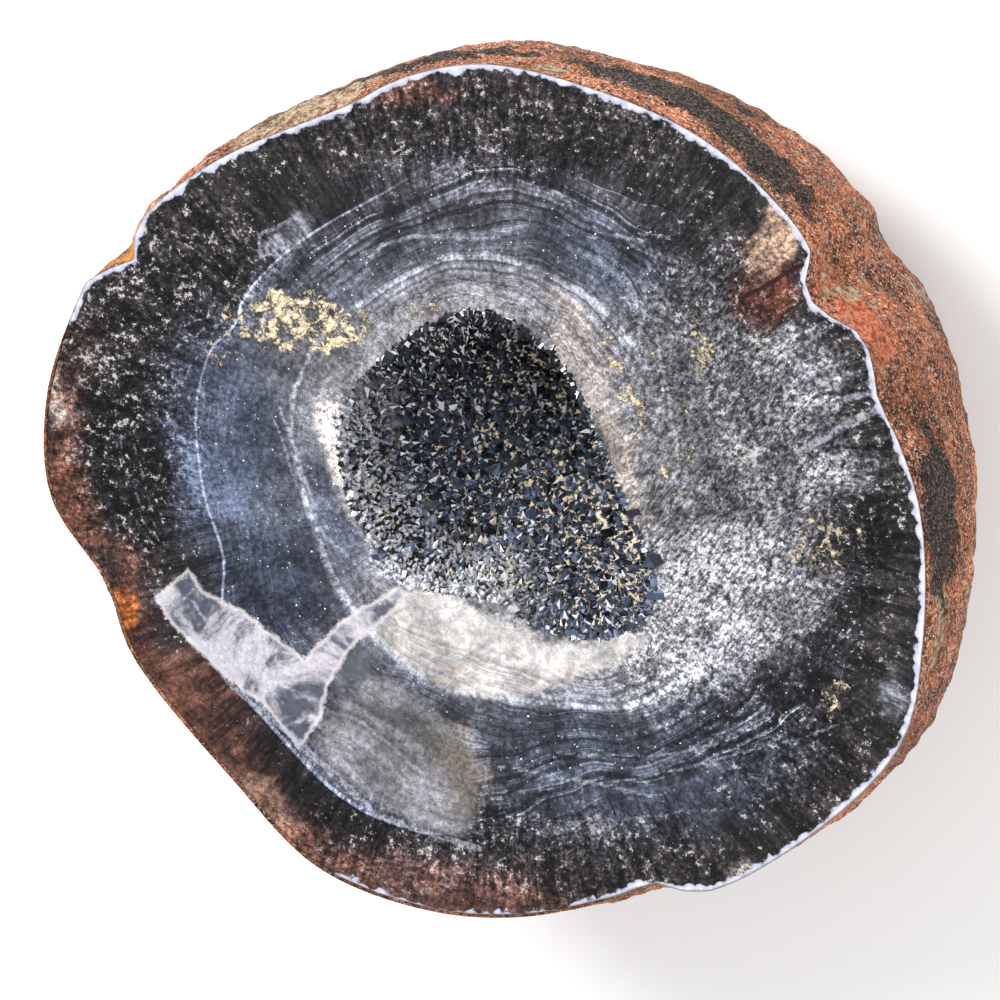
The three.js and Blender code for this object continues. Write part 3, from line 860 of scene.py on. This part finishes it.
def crystalShape():  # one six-sided point, its base level with z 0
    bpy.ops.object.select_all(action="DESELECT")
    bpy.ops.mesh.primitive_cone_add(vertices=6, radius1=1, radius2=0, depth=1.15, location=(0, 0, 0.575))
    crystal = bpy.context.object
    bpy.ops.object.transform_apply()
    bpy.ops.object.mode_set(mode="EDIT")
    bpy.ops.mesh.select_mode(type="FACE")
    bpy.ops.mesh.select_all(action="DESELECT")
    bpy.ops.object.mode_set(mode="OBJECT")
    for face in crystal.data.polygons:
        face.select = len(face.vertices) == 6
    bpy.ops.object.mode_set(mode="EDIT")
    bpy.ops.mesh.extrude_region_move(TRANSFORM_OT_translate={"value": (0, 0, -1.1)})
    bpy.ops.object.mode_set(mode="OBJECT")
    corners = np.array([v.co for v in crystal.data.vertices])
    faces = [list(face.vertices) for face in crystal.data.polygons]
    bpy.data.objects.remove(crystal)
    return corners, faces


def spotsOnCrust(piece, onTop, random):  # places a crystal's width apart, with the crust's direction there
    mesh = piece.data
    triangles = []
    for face in mesh.polygons:
        if all(onTop[v] for v in face.vertices):
            v = list(face.vertices)
            triangles += [v[:3], [v[0], *v[2:4]]] if len(v) == 4 else [v]
    corners = np.array([v.co for v in mesh.vertices]) / mm
    triangles = np.array(triangles)
    a, b, c = (corners[triangles[:, i]] for i in range(3))
    across = np.cross(b - a, c - a)
    area = np.linalg.norm(across, axis=1)
    pick = random.choice(len(triangles), druse["tries"], p=area / area.sum())
    u, v = random.random((2, druse["tries"]))
    flip = u + v > 1
    u, v = np.where(flip, 1 - u, u), np.where(flip, 1 - v, v)
    places = a[pick] + (b - a)[pick] * u[:, None] + (c - a)[pick] * v[:, None]
    ways = (across / np.maximum(area, 1e-9)[:, None])[pick]
    cell = druse["spacing"]
    taken, kept = {}, []
    for i, place in enumerate(places):
        key = tuple((place // cell).astype(int))
        near = [j for x in (-1, 0, 1) for y in (-1, 0, 1) for z in (-1, 0, 1)
                for j in taken.get((key[0] + x, key[1] + y, key[2] + z), ())]
        if all(np.dot(place - places[j], place - places[j]) > cell * cell for j in near):
            taken.setdefault(key, []).append(i)
            kept.append(i)
    return places[kept], ways[kept]


def growCrystals(piece, onTop):
    random = np.random.default_rng(druse["seed"])
    places, ways = spotsOnCrust(piece, onTop, random)
    count = len(places)
    shape, shapeFaces = crystalShape()
    width = random.uniform(*druse["width"], count)
    big = random.random(count) < druse["bigShare"]
    width[big] = random.uniform(druse["width"][1], druse["bigWidth"], big.sum())
    tall = width * random.uniform(0.8, 1.5, count)
    turn = np.arctan2(places[:, 1], places[:, 0])
    edge = reachOf(mouthLoop, turn) - np.hypot(places[:, 0], places[:, 1])
    frostSide = smooth(np.cos(turn - math.radians(215)), 0.15, 0.7)
    frosted = random.random(count) < 0.85
    frost = frostSide * (1 - smooth(edge, 1.2, 5)) * frosted * random.uniform(0.7, 1, count)
    crumb = random.random(count) < 0.07 + 0.12 * smooth(places[:, 0] + places[:, 1] * 0.4, -8, 16)
    crumb &= edge > 0.8
    width[crumb] *= 0.6
    width[frost > 0.3] *= 0.75
    ways = ways + random.normal(0, druse["lean"], (count, 3)) * 0.6
    ways[:, 2] += 0.15
    ways /= np.linalg.norm(ways, axis=1, keepdims=True)
    side = np.cross(ways, random.normal(0, 1, (count, 3)))
    side /= np.linalg.norm(side, axis=1, keepdims=True)
    other = np.cross(ways, side)
    corners = np.repeat(shape[None], count, 0)
    corners[:, :, :2] *= random.uniform(0.8, 1.15, (count, len(shape), 1))
    tip = shape[:, 2] > 0.5
    corners[:, tip, :2] += random.normal(0, 0.22, (count, tip.sum(), 2))
    grown = (places[:, None] + corners[:, :, :1] * (side * width[:, None])[:, None]
             + corners[:, :, 1:2] * (other * width[:, None])[:, None]
             + corners[:, :, 2:] * (ways * tall[:, None])[:, None])
    grown[:, :, 2] = np.minimum(grown[:, :, 2], faceLevel - 0.05)
    crustMesh = piece.data
    vertices = [tuple(v.co) for v in crustMesh.vertices]
    faces = [list(face.vertices) for face in crustMesh.polygons]
    first = len(vertices)
    vertices += [tuple(p) for p in (grown.reshape(-1, 3) * mm)]
    crustFaces = len(faces)
    for i in range(count):
        start = first + i * len(shape)
        faces += [[start + v for v in face] for face in shapeFaces]
    mesh = bpy.data.meshes.new(piece.name)
    mesh.from_pydata(vertices, [], faces)
    piece.data = mesh
    bpy.data.meshes.remove(crustMesh)
    mesh.name = piece.name
    smoothFaces = np.zeros(len(faces), bool)
    smoothFaces[:crustFaces] = True
    mesh.polygons.foreach_set("use_smooth", smoothFaces)
    # a random number for each crystal face, from which the material paints glints and facet shade
    glint = np.zeros(len(faces))
    glint[crustFaces:] = random.random(len(faces) - crustFaces)
    field = mesh.attributes.new("glint", "FLOAT", "FACE")
    field.data.foreach_set("value", glint.astype(np.float32))
    tone = np.concatenate([np.full(first, -1.0), np.repeat(random.random(count), len(shape))])
    writeField(piece, "tone", tone)
    writeField(piece, "frost", np.concatenate([np.zeros(first), np.repeat(frost, len(shape))]))
    writeField(piece, "crumb", np.concatenate([np.zeros(first), np.repeat(crumb, len(shape))]))
    return count


def finishDruse(piece):
    b = Bench("smoky_quartz_druse")
    tone, glint, frost, crumb = (b.field(name) for name in ("tone", "glint", "frost", "crumb"))
    crust = b.fade(tone, -0.5, -0.1, (1.0, 0.0))
    fine = b.noise(b.here, 1.5, 4, 0.7)
    across = b.node("SeparateXYZ", {0: b.place}).outputs
    # painted light and shade: the crystals are painted darker towards the top of the cavity and lighter
    # towards its bottom
    lower = b.fade(b.less(across[1], b.times(across[0], 0.1)), 18.0, -4.0)
    colour = b.mix(b.fade(tone, 0.0, 1.0), tint(15, 18, 24), tint(68, 78, 96))
    colour = b.brighten(colour, b.plus(b.times(lower, 1.3), 0.35))
    # painted glints: facets painted lighter or darker at random, and a few painted near-white, as light
    # caught on the crystal faces
    colour = b.brighten(colour, b.fade(glint, 0.2, 0.8, (0.45, 1.5)))
    colour = b.mix(b.fade(glint, 0.89, 0.91), colour, tint(224, 222, 232))
    colour = b.mix(frost, colour, b.mix(b.fade(fine, 0.42, 0.58), tint(120, 128, 146), tint(232, 230, 230)))
    colour = b.mix(b.times(crumb, b.fade(glint, 0.3, 0.45)), colour, tint(240, 228, 208))
    clayed = b.fade(b.plus(fine, b.times(across[0], 0.004)), 0.52, 0.58)
    crustColour = b.mix(clayed, tint(20, 22, 27), tint(232, 216, 190))
    colour = b.mix(crust, colour, crustColour)
    rough = b.maths("ADD", b.fade(glint, 0.0, 1.0, (0.1, 0.3)), b.times(crust, 0.5), clamp=True)
    b.finish(piece, colour, rough, b.noise(b.here, 3, 3), 0.03, IOR=1.5)


# Camera, light and floor.
view = {
    "tilt": 20,  # degrees off straight down on the face
    "turn": 35,  # the side that it looks from, counter-clockwise from +X
    "aim": (1.4, -0.95),
    "distance": 900,
    "width": 124.4,  # of the frame, at the face
}


def setCamera():
    data = bpy.data.cameras.new("camera")
    camera = bpy.data.objects.new("camera", data)
    bpy.context.scene.collection.objects.link(camera)
    turn = math.radians(view["turn"])
    lean = Matrix.Rotation(math.radians(view["tilt"]), 4, Vector((-math.sin(turn), math.cos(turn), 0)))
    aim = Vector((*view["aim"], faceLevel)) * mm
    camera.matrix_world = Matrix.Translation(aim) @ lean @ Matrix.Translation((0, 0, view["distance"] * mm))
    data.lens = data.sensor_width * view["distance"] / view["width"]
    data.clip_end = 10
    bpy.context.scene.camera = camera


def addLight(name, place, size, power):
    data = bpy.data.lights.new(name, "AREA")
    data.energy, data.size = power, size * mm
    lamp = bpy.data.objects.new(name, data)
    bpy.context.scene.collection.objects.link(lamp)
    lamp.location = Vector(place) * mm
    lamp.rotation_euler = (Vector((0, 0, faceLevel)) - Vector(place)).to_track_quat("-Z", "Y").to_euler()


def setStage():
    bpy.ops.object.select_all(action="DESELECT")
    bpy.ops.mesh.primitive_plane_add(size=6)
    floor = bpy.context.object
    floor.name = "floor"
    paper = bpy.data.materials.new("pale_paper")
    paper.use_nodes = True
    shader = paper.node_tree.nodes["Principled BSDF"]
    shader.inputs["Base Color"].default_value = (0.9, 0.9, 0.9, 1)
    shader.inputs["Roughness"].default_value = 0.9
    floor.data.materials.append(paper)
    world = bpy.data.worlds.new("studio")
    world.use_nodes = True
    world.node_tree.nodes["Background"].inputs[0].default_value = (1, 1, 1, 1)
    world.node_tree.nodes["Background"].inputs[1].default_value = 0.7
    bpy.context.scene.world = world
    bpy.context.scene.view_settings.view_transform = "Standard"
    addLight("key", (-350, 420, 600), 340, 6.5)
    addLight("fill", (500, -100, 700), 500, 3)


setCamera()
setStage()
agatePiece, *layout = makeAgate()
paintAgate(agatePiece, *layout)
shadeSmooth(agatePiece)
finishAgate(agatePiece)
print("agate:", len(agatePiece.data.vertices), "points")
rindPiece = makeRind()
shadeSmooth(rindPiece)
finishRind(rindPiece)
print("rind:", len(rindPiece.data.vertices), "points")
drusePiece, onTop = makeCrust()
crystalCount = growCrystals(drusePiece, onTop)
finishDruse(drusePiece)
print("druse:", crystalCount, "crystals")

for piece, node, slot in ((agatePiece, stoneNode, "agate"), (rindPiece, stoneNode, "agate"),
                          (drusePiece, liningNode, "quartz")):
    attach(piece, "root")
    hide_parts(node)
